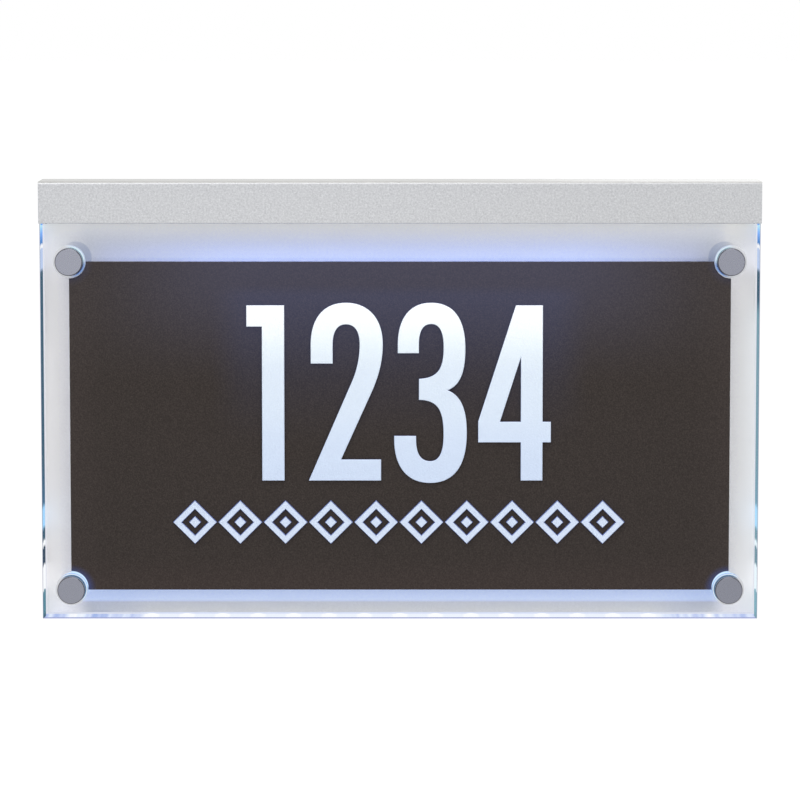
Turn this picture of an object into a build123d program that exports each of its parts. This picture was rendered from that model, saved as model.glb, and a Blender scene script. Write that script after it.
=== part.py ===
from build123d import *
import math
import os

os.makedirs("parts", exist_ok=True)

# Illuminated house number sign, in millimetres.
# X runs to the right as seen from the street, Y runs into the wall, Z is up.
# The wall is the plane Y = 0, and the origin is the middle of the wall bracket's screw holes.

# ---- Whole sign ----
sign_width = 416.0
rail_height = 24.0
rail_top = 58.0  # above the middle of the wall screws
fit_gap = 0.3  # between rigid pieces that do not bear on each other
past = 1.0  # how far each cut runs past the face it opens

# ---- Layers from the wall out to the front of the rail ----
wall_gap = 3.0  # behind the rail
hook_wall = 2.0
hook_slot = 5.0
rail_wall = 2.0
gasket_thickness = 1.0
back_thickness = 2.9
film_gap = 0.1  # air between the two panels, which keeps the light in the clear one
panel_thickness = 19.0

# ---- Top rail: an extrusion, open downward ----
rail_roof = 2.2
rail_corner = 1.5
skirt_edge = 0.6
hook_drop = 11.0  # the hook's height below the rail's top
tongue_height = 8.0  # how far both panels reach up into the rail
ledge_thickness = 1.0
ledge_reach = 1.8
port_outer = 2.7
port_bore = 1.25
port_mouth = 1.2
port_inset = 1.9  # from the roof, and from the front wall for the first port
port_spacing = 14.0
groove_depth = 0.4
end_plate_thickness = 2.0
end_screw_shank = 1.2
end_screw_head = 2.6
end_screw_length = 12.0
slide_clearance = 0.15

# ---- Lamps ----
led_count = 15
led_pitch = 20.7
led_width = 3.5
led_base = 0.6
led_height = 1.2
led_window = 2.6
led_air = 1.2  # between the emitters and the panel's lit edge
board_thickness = 1.6
connector_size = (9.0, 6.0, 4.5)
connector_pin_radius = 0.8
connector_pin_pitch = 3.0
connector_x = 88.0
connector_gap = 3.0  # between the connector and the web

# ---- Panels ----
shoulder_gap = 1.0  # between the tongue and each end plate
panel_side_inset = 0.4  # each side, from the rail's ends
panel_edge = 0.8  # polished arris
gasket_edge = 0.4
gasket_height = 5.0
clamp_screw_inset = 28.0  # from the rail's ends
clamp_screw_step = 80.0
clamp_screw_shank = 1.5
clamp_screw_head = 2.8
clamp_screw_head_height = 1.7
clamp_screw_depth = 9.0  # into the clear panel

# ---- Number plate ----
plate_height = 190.5
plate_thickness = 3.2
plate_side_inset = 17.5
plate_foot_inset = 17.5
plate_head_inset = 22.0  # below the rail
plate_edge = 0.5
notch_clearance = 0.4
stud_radius = 2.0
stud_inset_x = 40.5  # from the plate's sides
stud_inset_z = 35.25  # from its top and foot
stud_seat = 1.8  # blind hole in the back of the plate
nut_across_flats = 7.0
nut_height = 3.2
stud_washer_outer = 4.5
stud_washer_thickness = 0.8
stud_tail = 1.5  # thread left past the nut

# ---- Standoffs ----
cap_radius = 7.95
cap_height = 5.0
cap_edge = 0.5
cap_shank_radius = 3.0
cap_shank_length = 13.0
washer_radius = 9.35
washer_thickness = 1.5
washer_edge = 0.4
thread_clearance = 0.05
sleeve_radius = 5.0
sleeve_flange = 8.0
sleeve_flange_thickness = 2.0
sleeve_bore_depth = 16.0
sleeve_recess = 0.3  # below the clear panel's face
sleeve_socket = 5.0  # across the flats
hole_clearance = 0.25
bumper_radius = 8.0
bumper_waist = 6.4

# ---- Wall bracket ----
bracket_half_width = 70.0
bracket_foot = 62.0
bracket_sheet = 2.0
bracket_bend = 1.2
lip_clearance = 1.5  # between the bracket's lip and the rail's web
step_clearance = 4.0  # between the bracket's step and the foot of the rail's hook
bracket_corner = 6.0
box_slot_spacing = 88.9
box_slot_width = 5.0
box_slot_length = 12.0
wall_hole_spacing_x = 120.0
wall_hole_spacing_z = 56.0
wall_hole_radius = 2.5

# ---- Wiring entry, terminals and driver ----
grommet_bore = 5.0
grommet_wall = 3.0
grommet_flange = 10.5
grommet_flange_height = 2.0
lead_grommet_bore = 1.8
lead_grommet_body = 3.0
lead_grommet_flange = 4.0
lead_grommet_flange_height = 1.2
terminal_size = (22.0, 9.0, 13.0)
terminal_z = 21.0
terminal_screw_radius = 2.0
terminal_screw_height = 3.0
terminal_screw_sink = 1.0  # below the block's front
terminal_screw_slot = (0.7, 0.8)  # width and depth
terminal_pitch = 10.0
terminal_wire_radius = 1.6
terminal_wire_height = 3.0  # above the bracket
driver_size = (78.0, 8.0, 24.0)
driver_z = -46.0
driver_corner = 2.0
driver_edge = 0.7
driver_ear = 9.0
driver_ear_thickness = 2.0
driver_ear_height = 16.0
driver_screw_radius = 1.5
driver_screw_head = 2.8
driver_screw_head_height = 1.6
driver_screw_slot = (0.8, 0.8)
driver_lead_radius = 1.5
driver_lead_depth = 4.0
driver_lead_pitch = 7.0

# ---- Places worked out from the sizes above ----
rail_bottom = rail_top - rail_height
roof_under = rail_top - rail_roof
rail_rear = -wall_gap
hook_face = rail_rear - hook_wall
web_rear = hook_face - hook_slot
web_front = web_rear - rail_wall
back_rear = web_front - gasket_thickness
back_front = back_rear - back_thickness
panel_rear = back_front - film_gap
panel_front = panel_rear - panel_thickness
chamber_front = panel_front - gasket_thickness
rail_front = chamber_front - rail_wall
plate_width = sign_width - 2 * plate_side_inset
panel_drop = plate_head_inset + plate_height + plate_foot_inset
panel_bottom = rail_bottom - panel_drop
tongue_top = rail_bottom + tongue_height
board_bottom = tongue_top + led_air + led_height
board_top = board_bottom + board_thickness
rail_length = sign_width - 2 * end_plate_thickness
tongue_width = rail_length - 2 * shoulder_gap
light_line = (panel_front + panel_rear) / 2
plate_rear = panel_front
plate_front = plate_rear - plate_thickness
plate_bottom = panel_bottom + plate_foot_inset
plate_middle = plate_bottom + plate_height / 2
standoff_x = plate_width / 2
standoff_z = {"upper": plate_bottom + plate_height, "lower": plate_bottom}
standoff_side = {"left": -standoff_x, "right": standoff_x}
gasket_middle = rail_bottom + tongue_height / 2
stud_x = plate_width / 2 - stud_inset_x
stud_z = plate_height / 2 - stud_inset_z
stud_places = [
    (side * stud_x, plate_middle + level * stud_z) for side in (-1, 1) for level in (-1, 1)
]
clamp_outer = sign_width / 2 - clamp_screw_inset
clamp_inner = clamp_outer - clamp_screw_step
clamp_screw_x = (-clamp_outer, -clamp_inner, clamp_inner, clamp_outer)
standoff_places = [(x, z) for z in standoff_z.values() for x in standoff_side.values()]
lead_grommet_z = (board_top + ledge_thickness + roof_under) / 2
stud_hole_radius = stud_radius + hole_clearance
sleeve_hole_radius = sleeve_radius + hole_clearance
driver_screw_x = driver_size[0] / 2 + driver_ear / 2


def save(shape, name):
    """Write one named piece."""
    shape.label = name
    export_step(shape, f"parts/{name}.step")


def slab(x_low, x_high, y_low, y_high, z_low, z_high):
    """A block between two corners."""
    middle = ((x_low + x_high) / 2, (y_low + y_high) / 2, (z_low + z_high) / 2)
    return Pos(*middle) * Box(x_high - x_low, y_high - y_low, z_high - z_low)


def drum(radius, y_low, y_high, x=0.0, z=0.0):
    """A round bar along Y."""
    turned = Rot(90, 0, 0) * Cylinder(radius, y_high - y_low)
    return Pos(x, (y_low + y_high) / 2, z) * turned


def spun(profile_points, x=0.0, z=0.0):
    """Turn a half outline of (radius, y) points about the Y axis, then move it to its place."""
    half = make_face(Polyline(*[(r, y) for r, y in profile_points], close=True))
    return Pos(x, 0, z) * revolve(half, Axis.Y)


def profile_sketch(points):
    """A closed outline in the YZ plane, from (y, z) points."""
    return Plane.YZ * make_face(Polyline(*points, close=True))


def along_x(section, x_low, x_high):
    """Extrude a YZ section from x_low to x_high."""
    return Pos(x_low, 0, 0) * extrude(section, x_high - x_low, dir=(1, 0, 0))


def ring(outer, inner, y_low, y_high, x=0.0, z=0.0):
    """A washer or flange on an axis along Y."""
    return drum(outer, y_low, y_high, x, z) - drum(inner, y_low - past, y_high + past, x, z)


def hexagon(across_flats, y_low, y_high, x, z):
    """A six-sided bar along Y."""
    face = Plane.XZ * RegularPolygon(across_flats / 2, 6, major_radius=False)
    return Pos(x, y_high, z) * extrude(face, y_high - y_low)


def slotted_head(radius, y_low, y_high, x, z, slot_size):
    """A cheese head whose screwdriver slot faces the low side."""
    slot_width, slot_depth = slot_size
    slot = slab(
        x - radius - past, x + radius + past,
        y_low - past, y_low + slot_depth,
        z - slot_width / 2, z + slot_width / 2,
    )
    return drum(radius, y_low, y_high, x, z) - slot


def soften(section, points, radius):
    """Round the corners of a YZ section that lie at the given (y, z) points."""
    found = [
        vertex
        for vertex in section.vertices()
        if any(math.hypot(vertex.Y - y, vertex.Z - z) < 1e-4 for y, z in points)
    ]
    return fillet(found, radius)


# ---- Top rail ----


def port_places():
    """Middles of the two screw ports under the roof, as (y, z)."""
    first = chamber_front + port_inset
    return [(first, roof_under - port_inset), (first + port_spacing, roof_under - port_inset)]


def rail_section():
    """Front skirt, roof, web and rear hook, with the board's ledges and the screw ports."""
    hook_foot = rail_top - hook_drop
    outline = profile_sketch(
        [
            (rail_front, rail_bottom),
            (rail_front, rail_top),
            (rail_rear, rail_top),
            (rail_rear, hook_foot),
            (hook_face, hook_foot),
            (hook_face, roof_under),
            (web_rear, roof_under),
            (web_rear, rail_bottom),
            (web_front, rail_bottom),
            (web_front, roof_under),
            (chamber_front, roof_under),
            (chamber_front, rail_bottom),
        ]
    )
    outline = soften(outline, [(rail_front, rail_top), (rail_rear, rail_top)], rail_corner)
    feet = [(y, rail_bottom) for y in (rail_front, chamber_front, web_front, web_rear)]
    feet += [(y, hook_foot) for y in (rail_rear, hook_face)]
    outline = soften(outline, feet, skirt_edge)
    ledge_levels = (board_bottom - ledge_thickness, board_top + slide_clearance)
    for low in ledge_levels:
        for wall, reach in ((chamber_front, ledge_reach), (web_front, -ledge_reach)):
            near, far = sorted((wall - math.copysign(rail_wall / 2, reach), wall + reach))
            top = low + ledge_thickness
            outline += profile_sketch([(near, low), (far, low), (far, top), (near, top)])
    for y, z in port_places():
        outline += Plane.YZ * Pos(y, z) * Circle(port_outer)
    for y, z in port_places():
        outline -= Plane.YZ * Pos(y, z) * Circle(port_bore)
        outline -= Plane.YZ * Pos(y, z - port_outer / 2) * Rectangle(port_mouth, port_outer)
    low, high = gasket_middle - gasket_height / 2, gasket_middle + gasket_height / 2
    for wall, depth in ((chamber_front, -groove_depth), (web_front, groove_depth)):
        near, far = sorted((wall - depth, wall + depth))
        outline -= profile_sketch([(near, low), (far, low), (far, high), (near, high)])
    return outline


def rail_body():
    rail = along_x(rail_section(), -rail_length / 2, rail_length / 2)
    screw_hole = clamp_screw_shank + hole_clearance
    for x in clamp_screw_x:
        rail -= drum(screw_hole, web_front - past, web_rear + past, x, gasket_middle)
    lead_hole = drum(
        lead_grommet_body, web_front - past, web_rear + past, connector_x, lead_grommet_z
    )
    return rail - lead_hole


def end_screw(y, z, side):
    """A countersunk screw along X into a port, its flat head flush with the end plate."""
    outer = sign_width / 2
    sink = end_screw_head - end_screw_shank
    head = Cone(end_screw_shank, end_screw_head, sink, align=(Align.CENTER, Align.CENTER, Align.MAX))
    shank = Cylinder(
        end_screw_shank, end_screw_length, align=(Align.CENTER, Align.CENTER, Align.MAX)
    )
    return Pos(side * outer, y, z) * Rot(0, 90 * side, 0) * (head + shank)


def end_plate(side):
    """A flat plate with the rail's outline, countersunk for two screws."""
    inner, outer = sorted((side * rail_length / 2, side * sign_width / 2))
    outline = profile_sketch(
        [
            (rail_front, rail_bottom),
            (rail_front, rail_top),
            (rail_rear, rail_top),
            (rail_rear, rail_bottom),
        ]
    )
    outline = soften(outline, [(rail_front, rail_top), (rail_rear, rail_top)], rail_corner)
    outline = soften(outline, [(rail_front, rail_bottom), (rail_rear, rail_bottom)], skirt_edge)
    plate = along_x(outline, inner, outer)
    sink = end_screw_head - end_screw_shank
    cutter = Cone(
        end_screw_shank + thread_clearance,
        end_screw_head + thread_clearance,
        sink,
        align=(Align.CENTER, Align.CENTER, Align.MAX),
    )
    cutter += Cylinder(
        end_screw_shank + thread_clearance,
        end_plate_thickness + past,
        align=(Align.CENTER, Align.CENTER, Align.MAX),
    )
    for y, z in port_places():
        plate -= Pos(side * sign_width / 2, y, z) * Rot(0, 90 * side, 0) * cutter
    return plate


# ---- Lamps ----


def led_board():
    return slab(
        -rail_length / 2 + fit_gap, rail_length / 2 - fit_gap,
        chamber_front + fit_gap, web_front - fit_gap,
        board_bottom, board_top,
    )


def led_emitter(x):
    """A square package under the board that narrows to its window, which faces down."""
    base = slab(
        x - led_width / 2, x + led_width / 2,
        light_line - led_width / 2, light_line + led_width / 2,
        board_bottom - led_base, board_bottom,
    )
    top = Pos(x, light_line, board_bottom - led_base) * Rectangle(led_width, led_width)
    window = Pos(x, light_line, board_bottom - led_height) * Rectangle(led_window, led_window)
    return base + loft([top, window])


def lead_connector():
    """A small socket on top of the board whose two pins face the lead grommet."""
    length, depth, height = connector_size
    rear = web_front - connector_gap
    body = slab(
        connector_x - length / 2, connector_x + length / 2,
        rear - depth, rear,
        board_top, board_top + height,
    )
    for side in (-1, 1):
        body -= drum(
            connector_pin_radius, rear - depth / 2, rear + past,
            connector_x + side * connector_pin_pitch / 2, board_top + height / 2,
        )
    return body


# ---- Panels and what holds them ----


def panel_outline():
    """Front view of both panels: a full-width sheet with a narrower tongue on top."""
    half = sign_width / 2 - panel_side_inset
    half_tongue = tongue_width / 2
    shoulder = rail_bottom - fit_gap
    points = [
        (-half, panel_bottom),
        (half, panel_bottom),
        (half, shoulder),
        (half_tongue, shoulder),
        (half_tongue, tongue_top),
        (-half_tongue, tongue_top),
        (-half_tongue, shoulder),
        (-half, shoulder),
    ]
    return Plane.XZ * make_face(Polyline(*points, close=True))


def panel_sheet(y_low, y_high, arris, screw_hole_radius, screw_hole_front):
    """One panel with its arris, its standoff and stud holes, and its clamp screw holes."""
    sheet = Pos(0, y_high, 0) * extrude(panel_outline(), y_high - y_low)
    if arris:
        rims = [edge for edge in sheet.edges() if abs(edge.tangent_at(0.5).Y) < 0.5]
        sheet = chamfer(rims, arris)
    for x, z in standoff_places:
        sheet -= drum(sleeve_hole_radius, y_low - past, y_high + past, x, z)
    for x, z in stud_places:
        sheet -= drum(stud_hole_radius, y_low - past, y_high + past, x, z)
    for x in clamp_screw_x:
        sheet -= drum(screw_hole_radius, screw_hole_front, y_high + past, x, gasket_middle)
    return sheet


def clear_panel():
    """The thick panel, tapped from behind for the clamp screws."""
    hole_end = panel_rear - clamp_screw_depth - fit_gap
    return panel_sheet(
        panel_front, panel_rear, panel_edge, clamp_screw_shank + thread_clearance, hole_end
    )


def back_panel():
    """The white sheet behind the clear panel."""
    return panel_sheet(
        back_front, back_rear, 0, clamp_screw_shank + hole_clearance, back_front - past
    )


def gasket(wall_side, panel_side, pierced):
    """A soft strip between a groove in the rail and the panel it presses on."""
    low, high = sorted((wall_side, panel_side))
    strip = slab(
        -tongue_width / 2, tongue_width / 2,
        low, high,
        gasket_middle - gasket_height / 2, gasket_middle + gasket_height / 2,
    )
    pressed = [
        e for e in strip.edges()
        if abs(e.center().Y - panel_side) < 1e-6 and e.length > 2 * gasket_height
    ]
    strip = fillet(pressed, gasket_edge)
    if pierced:
        screw_hole = clamp_screw_shank + hole_clearance
        for x in clamp_screw_x:
            strip -= drum(screw_hole, low - past, high + past, x, gasket_middle)
    return strip


def clamp_screw(x):
    """A cheese-head screw through the rail's web and the back panel into the clear panel."""
    head_end = web_rear + clamp_screw_head_height
    head = drum(clamp_screw_head, web_rear, head_end, x, gasket_middle)
    tip = panel_rear - clamp_screw_depth
    return head + drum(clamp_screw_shank, tip, web_rear, x, gasket_middle)


# ---- Number plate ----


def number_plate():
    """A flat casting with a round notch at each corner, where a standoff stands."""
    outline = Pos(0, plate_middle) * Rectangle(plate_width, plate_height)
    for x, z in standoff_places:
        outline -= Pos(x, z) * Circle(washer_radius + notch_clearance)
    plate = Pos(0, plate_rear, 0) * extrude(Plane.XZ * outline, plate_thickness)
    front = plate.faces().sort_by(Axis.Y)[0]
    plate = chamfer(front.edges(), plate_edge)
    stud_hole = stud_radius + thread_clearance
    for x, z in stud_places:
        plate -= drum(stud_hole, plate_rear - stud_seat, plate_rear + past, x, z)
    return plate


def plate_stud(x, z):
    tail_end = back_rear + stud_washer_thickness + nut_height + stud_tail
    return drum(stud_radius, plate_rear - stud_seat, tail_end, x, z)


def stud_nut(x, z):
    low = back_rear + stud_washer_thickness
    nut = hexagon(nut_across_flats, low, low + nut_height, x, z)
    return nut - drum(stud_radius + thread_clearance, low - past, low + nut_height + past, x, z)


# ---- Standoffs ----


def standoff_sleeve(x, z):
    """A flanged barrel through both panels: bored for the cap, with a hexagon socket behind."""
    front = panel_front + sleeve_recess
    flange_rear = back_rear + sleeve_flange_thickness
    bore = cap_shank_radius + thread_clearance
    sleeve = spun(
        [
            (bore, front),
            (sleeve_radius, front),
            (sleeve_radius, back_rear),
            (sleeve_flange, back_rear),
            (sleeve_flange, flange_rear),
            (0, flange_rear),
            (0, front + sleeve_bore_depth),
            (bore, front + sleeve_bore_depth),
        ],
        x, z,
    )
    return sleeve - hexagon(sleeve_socket, back_rear, flange_rear + past, x, z)


def standoff_cap(x, z):
    """A flat round head with a fine edge, and its screw shank."""
    foot = panel_front - washer_thickness
    face = foot - cap_height
    return spun(
        [
            (0, face),
            (cap_radius - cap_edge, face),
            (cap_radius, face + cap_edge),
            (cap_radius, foot),
            (cap_shank_radius, foot),
            (cap_shank_radius, foot + cap_shank_length),
            (0, foot + cap_shank_length),
        ],
        x, z,
    )


def cap_washer(x, z):
    """A clear washer between a cap and the clear panel."""
    front = panel_front - washer_thickness
    bore = cap_shank_radius + hole_clearance
    return spun(
        [
            (bore, panel_front),
            (washer_radius, panel_front),
            (washer_radius, front + washer_edge),
            (washer_radius - washer_edge, front),
            (bore, front),
        ],
        x, z,
    )


def wall_bumper(x, z):
    """A rubber foot between a lower sleeve's flange and the wall, drawn in at its middle."""
    seat = back_rear + sleeve_flange_thickness
    profile = [(0, seat), (bumper_radius, seat), (bumper_waist, seat / 2), (bumper_radius, 0), (0, 0)]
    return spun(profile, x, z)


# ---- Wall bracket and wiring ----


def wall_bracket():
    """A folded sheet: a flat back on the wall, a step forward and an upright lip for the rail."""
    lip_front = web_rear + lip_clearance
    lip_rear = lip_front + bracket_sheet
    step_top = rail_top - hook_drop - step_clearance
    step_under = step_top - bracket_sheet
    outline = profile_sketch(
        [
            (0, -bracket_foot),
            (0, step_top),
            (lip_rear, step_top),
            (lip_rear, roof_under),
            (lip_front, roof_under),
            (lip_front, step_under),
            (-bracket_sheet, step_under),
            (-bracket_sheet, -bracket_foot),
        ]
    )
    outline = soften(outline, [(lip_rear, step_top), (-bracket_sheet, step_under)], bracket_bend)
    bend_outside = bracket_bend + bracket_sheet
    outline = soften(outline, [(0, step_top), (lip_front, step_under)], bend_outside)
    bracket = along_x(outline, -bracket_half_width, bracket_half_width)
    lower_corners = bracket.edges().filter_by(Axis.Y).group_by(Axis.Z)[0]
    bracket = fillet(lower_corners, bracket_corner)
    behind, ahead = past, -bracket_sheet - past
    bracket -= drum(grommet_bore + grommet_wall + thread_clearance, ahead, behind)
    for side in (-1, 1):
        place = Pos(side * box_slot_spacing / 2, 0)
        slot = Plane.XZ * place * SlotOverall(box_slot_length, box_slot_width)
        bracket -= Pos(0, behind, 0) * extrude(slot, behind - ahead)
        for level in (-1, 1):
            x, z = side * wall_hole_spacing_x / 2, level * wall_hole_spacing_z / 2
            bracket -= drum(wall_hole_radius, ahead, behind, x, z)
        tapped = driver_screw_radius + thread_clearance
        bracket -= drum(tapped, ahead, behind, side * driver_screw_x, driver_z)
    return bracket


def cable_grommet():
    """A rubber bush in the bracket, its flange in front and its rear flush with the wall."""
    outer = grommet_bore + grommet_wall
    flange_front = -bracket_sheet - grommet_flange_height
    return spun(
        [
            (grommet_bore, 0),
            (outer, 0),
            (outer, -bracket_sheet),
            (grommet_flange, -bracket_sheet),
            (grommet_flange - grommet_flange_height / 2, flange_front),
            (grommet_bore, flange_front),
        ]
    )


def lead_grommet():
    """A small bush in the rail's web with a flange on each side."""
    inside = web_front - lead_grommet_flange_height
    outside = web_rear + lead_grommet_flange_height
    return spun(
        [
            (lead_grommet_bore, inside),
            (lead_grommet_flange, inside),
            (lead_grommet_flange, web_front),
            (lead_grommet_body - thread_clearance, web_front),
            (lead_grommet_body - thread_clearance, web_rear),
            (lead_grommet_flange, web_rear),
            (lead_grommet_flange, outside),
            (lead_grommet_bore, outside),
        ],
        connector_x, lead_grommet_z,
    )


def terminal_block():
    """A two-pole block on the bracket, with a screw well and a wire hole for each pole."""
    length, depth, height = terminal_size
    front = -bracket_sheet - depth
    body = slab(
        -length / 2, length / 2, front, -bracket_sheet,
        terminal_z - height / 2, terminal_z + height / 2,
    )
    for side in (-1, 1):
        x = side * terminal_pitch / 2
        well_end = front + terminal_screw_sink + terminal_screw_height
        well = terminal_screw_radius + thread_clearance
        body -= drum(well, front - past, well_end, x, terminal_z)
        wire_hole = Cylinder(terminal_wire_radius, height + 2 * past)
        body -= Pos(x, -bracket_sheet - terminal_wire_height, terminal_z) * wire_hole
    return body


def terminal_screw(side):
    front = -bracket_sheet - terminal_size[1] + terminal_screw_sink
    return slotted_head(
        terminal_screw_radius, front, front + terminal_screw_height,
        side * terminal_pitch / 2, terminal_z, terminal_screw_slot,
    )


def led_driver():
    """A potted box with an ear at each end and two lead outlets on its top side."""
    length, depth, height = driver_size
    body = slab(
        -length / 2, length / 2, -bracket_sheet - depth, -bracket_sheet,
        driver_z - height / 2, driver_z + height / 2,
    )
    body = fillet(body.edges().filter_by(Axis.Y), driver_corner)
    rim = body.faces().sort_by(Axis.Y)[0].edges()
    body = chamfer(rim, driver_edge)
    half_ear = driver_ear_height / 2
    reach = length / 2 + driver_ear
    ears = slab(
        -reach, reach, -bracket_sheet - driver_ear_thickness, -bracket_sheet,
        driver_z - half_ear, driver_z + half_ear,
    )
    ears = fillet(ears.edges().filter_by(Axis.Y), driver_corner)
    body += ears
    for side in (-1, 1):
        body -= drum(
            driver_screw_radius + hole_clearance, -bracket_sheet - depth, past,
            side * driver_screw_x, driver_z,
        )
        outlet = Cylinder(driver_lead_radius, 2 * driver_lead_depth)
        body -= Pos(
            side * driver_lead_pitch / 2, -bracket_sheet - depth / 2, driver_z + height / 2
        ) * outlet
    return body


def driver_screw(side):
    x = side * driver_screw_x
    seat = -bracket_sheet - driver_ear_thickness
    head = slotted_head(
        driver_screw_head, seat - driver_screw_head_height, seat, x, driver_z, driver_screw_slot
    )
    return head + drum(driver_screw_radius, seat, 0, x, driver_z)


# ---- Write every piece ----

save(rail_body(), "rail_body")
for word, side in (("left", -1), ("right", 1)):
    save(end_plate(side), f"rail_end_plate_{word}")
end_screws = [end_screw(y, z, side) for side in (-1, 1) for y, z in port_places()]
save(Compound(end_screws), "end_plate_screws")
save(led_board(), "led_board")
led_x = [(number - (led_count - 1) / 2) * led_pitch for number in range(led_count)]
save(Compound([led_emitter(x) for x in led_x]), "led_emitters")
save(lead_connector(), "lead_connector")
save(lead_grommet(), "lead_grommet")
save(gasket(chamber_front - groove_depth, panel_front, False), "front_gasket")
save(gasket(web_front + groove_depth, back_rear, True), "rear_gasket")
save(Compound([clamp_screw(x) for x in clamp_screw_x]), "panel_clamp_screws")
save(clear_panel(), "clear_panel")
save(back_panel(), "back_panel")
save(number_plate(), "number_plate")
save(Compound([plate_stud(x, z) for x, z in stud_places]), "plate_studs")
stud_washers = [
    ring(stud_washer_outer, stud_hole_radius, back_rear, back_rear + stud_washer_thickness, x, z)
    for x, z in stud_places
]
save(Compound(stud_washers), "stud_washers")
save(Compound([stud_nut(x, z) for x, z in stud_places]), "stud_nuts")
save(Compound([standoff_sleeve(x, z) for x, z in standoff_places]), "standoff_sleeves")
for level, z in standoff_z.items():
    for side, x in standoff_side.items():
        save(standoff_cap(x, z), f"standoff_cap_{level}_{side}")
        save(cap_washer(x, z), f"cap_washer_{level}_{side}")
bumpers = [wall_bumper(x, standoff_z["lower"]) for x in standoff_side.values()]
save(Compound(bumpers), "wall_bumpers")
save(wall_bracket(), "wall_bracket")
save(cable_grommet(), "cable_grommet")
save(terminal_block(), "terminal_block")
save(Compound([terminal_screw(side) for side in (-1, 1)]), "terminal_screws")
save(led_driver(), "led_driver")
save(Compound([driver_screw(side) for side in (-1, 1)]), "driver_screws")
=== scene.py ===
import math

import bmesh
import bpy
from mathutils import Matrix, Vector


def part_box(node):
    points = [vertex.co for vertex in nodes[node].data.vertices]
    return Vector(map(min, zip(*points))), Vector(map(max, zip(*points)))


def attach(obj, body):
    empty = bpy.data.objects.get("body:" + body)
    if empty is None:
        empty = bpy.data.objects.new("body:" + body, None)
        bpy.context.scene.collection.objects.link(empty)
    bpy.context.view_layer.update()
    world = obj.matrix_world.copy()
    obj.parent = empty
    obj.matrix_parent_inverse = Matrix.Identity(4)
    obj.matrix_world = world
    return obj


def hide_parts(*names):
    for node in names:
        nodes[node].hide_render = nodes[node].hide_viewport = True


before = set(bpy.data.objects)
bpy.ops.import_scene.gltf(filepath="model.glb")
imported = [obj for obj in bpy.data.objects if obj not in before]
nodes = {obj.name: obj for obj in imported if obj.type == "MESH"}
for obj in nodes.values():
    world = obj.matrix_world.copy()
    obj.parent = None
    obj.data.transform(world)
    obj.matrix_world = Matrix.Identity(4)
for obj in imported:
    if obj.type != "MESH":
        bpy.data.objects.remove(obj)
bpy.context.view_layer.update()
mm = 0.001
print("loaded", len(nodes), "pieces of the sign")


# small helpers for material and geometry trees

def addNode(tree, kind, **settings):
    node = tree.nodes.new(kind)
    for name, value in settings.items():
        setattr(node, name, value)
    return node


def feed(tree, socket, value):
    # a socket is linked, anything else is set as the plain value
    if isinstance(value, bpy.types.NodeSocket):
        tree.links.new(value, socket)
    else:
        socket.default_value = value


def calc(tree, operation, first, second=0.0, third=None):
    node = addNode(tree, "ShaderNodeMath", operation=operation)
    feed(tree, node.inputs[0], first)
    feed(tree, node.inputs[1], second)
    if third is not None:
        feed(tree, node.inputs[2], third)
    return node.outputs[0]


def product(tree, *factors):
    result = factors[0]
    for factor in factors[1:]:
        result = calc(tree, "MULTIPLY", result, factor)
    return result


def oneMinus(tree, *factors):
    return calc(tree, "SUBTRACT", 1.0, product(tree, *factors))


def distance(tree, first, second):
    squared = calc(tree, "MULTIPLY_ADD", first, first, product(tree, second, second))
    return calc(tree, "SQRT", squared)


def fade(tree, value, start, end):
    # 0 at start, 1 at end, smooth between; start may be the larger
    node = addNode(tree, "ShaderNodeMapRange", interpolation_type="SMOOTHSTEP")
    feed(tree, node.inputs["Value"], value)
    node.inputs["From Min"].default_value = start
    node.inputs["From Max"].default_value = end
    return node.outputs["Result"]


def span(tree, length, start, end):
    # the same for a length, with its ends in millimetres
    return fade(tree, length, start * mm, end * mm)


def spans(tree, length, table):
    return {name: span(tree, length, *ends) for name, ends in table.items()}


def mixColour(tree, amount, first, second, mode="MIX"):
    node = addNode(tree, "ShaderNodeMix", data_type="RGBA", blend_type=mode)
    feed(tree, node.inputs[0], amount)
    for socket, value in ((node.inputs[6], first), (node.inputs[7], second)):
        feed(tree, socket, (*value, 1.0) if isinstance(value, tuple) else value)
    return node.outputs[2]


def addLights(tree, lights, start=(0.0, 0.0, 0.0)):
    # adds up patches of light, each a mask and a colour
    total = start
    for amount, colour in lights:
        total = mixColour(tree, amount, total, colour, "ADD")
    return total


def mixShaders(tree, amount, first, second):
    node = addNode(tree, "ShaderNodeMixShader")
    for socket, value in zip(node.inputs, (amount, first, second)):
        feed(tree, socket, value)
    return node.outputs[0]


def ramp(tree, value, stops):
    node = addNode(tree, "ShaderNodeValToRGB")
    feed(tree, node.inputs[0], value)
    line = node.color_ramp
    ends = line.elements[0], line.elements[1]
    for element, (place, colour) in zip(ends, (stops[0], stops[-1])):
        element.position = place
        element.color = (*colour, 1.0)
    for place, colour in stops[1:-1]:
        line.elements.new(place).color = (*colour, 1.0)
    return node.outputs[0]


def greyRamp(tree, value, low, high):
    # stops are a place and a level of grey
    return ramp(tree, value, [(place, (level,) * 3) for place, level in (low, high)])


def grain(tree, where, scale, detail=2.0, roughness=0.5, stretch=None):
    if stretch:
        turn = addNode(tree, "ShaderNodeMapping")
        turn.inputs["Scale"].default_value = stretch
        feed(tree, turn.inputs["Vector"], where)
        where = turn.outputs[0]
    node = addNode(tree, "ShaderNodeTexNoise")
    feed(tree, node.inputs["Vector"], where)
    node.inputs["Scale"].default_value = scale
    node.inputs["Detail"].default_value = detail
    node.inputs["Roughness"].default_value = roughness
    return node.outputs["Fac"]


def bump(tree, height, strength, depth):
    node = addNode(tree, "ShaderNodeBump")
    node.inputs["Strength"].default_value = strength
    node.inputs["Distance"].default_value = depth
    feed(tree, node.inputs["Height"], height)
    return node.outputs[0]


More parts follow.
